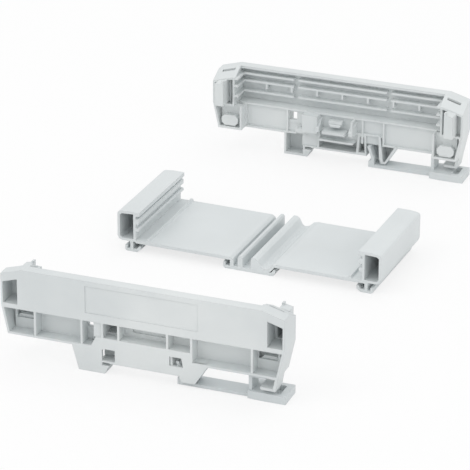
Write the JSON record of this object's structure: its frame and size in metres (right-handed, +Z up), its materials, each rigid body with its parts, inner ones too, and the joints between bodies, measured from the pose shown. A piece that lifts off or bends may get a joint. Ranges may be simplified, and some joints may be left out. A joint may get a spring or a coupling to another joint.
{
  "type": "din rail enclosure",
  "caption": "Open rail-mounted electronics housing laid out in pieces: a shallow floor profile with hollow walls, and side elements with board guides, rail feet and sliding latches.",
  "frame": {"origin": "centre of the laid-out set's bounding box, on the bench plane under it", "axes": "+Z up; +Y from the front side element to the rear one, the longest way across the set; +X along the side elements towards their latches"},
  "size_m": [0.1332, 0.2606, 0.0418],
  "materials": {
    "extruded_profile": "light grey extruded plastic, satin, with faint draw lines along its length",
    "moulded_side": "light grey moulded plastic, fine satin texture",
    "moulded_latch": "light grey moulded plastic, fine satin texture, a shade cooler than the side elements"
  },
  "bodies": {
    "enclosure": {"base_profile": "extruded_profile", "front_side_element": "moulded_side", "rear_side_element": "moulded_side"},
    "front_latch": {"front_rail_latch": "moulded_latch"},
    "rear_latch": {"rear_rail_latch": "moulded_latch"}
  },
  "joints": [
    {"name": "front_latch_slide", "type": "slide", "parent": "enclosure", "child": "front_latch", "axis": [1, 0, 0], "range_m": [0, 0.002], "stiffness_N_per_m": 400},
    {"name": "rear_latch_slide", "type": "slide", "parent": "enclosure", "child": "rear_latch", "axis": [1, 0, 0], "range_m": [0, 0.002], "stiffness_N_per_m": 400}
  ]
}
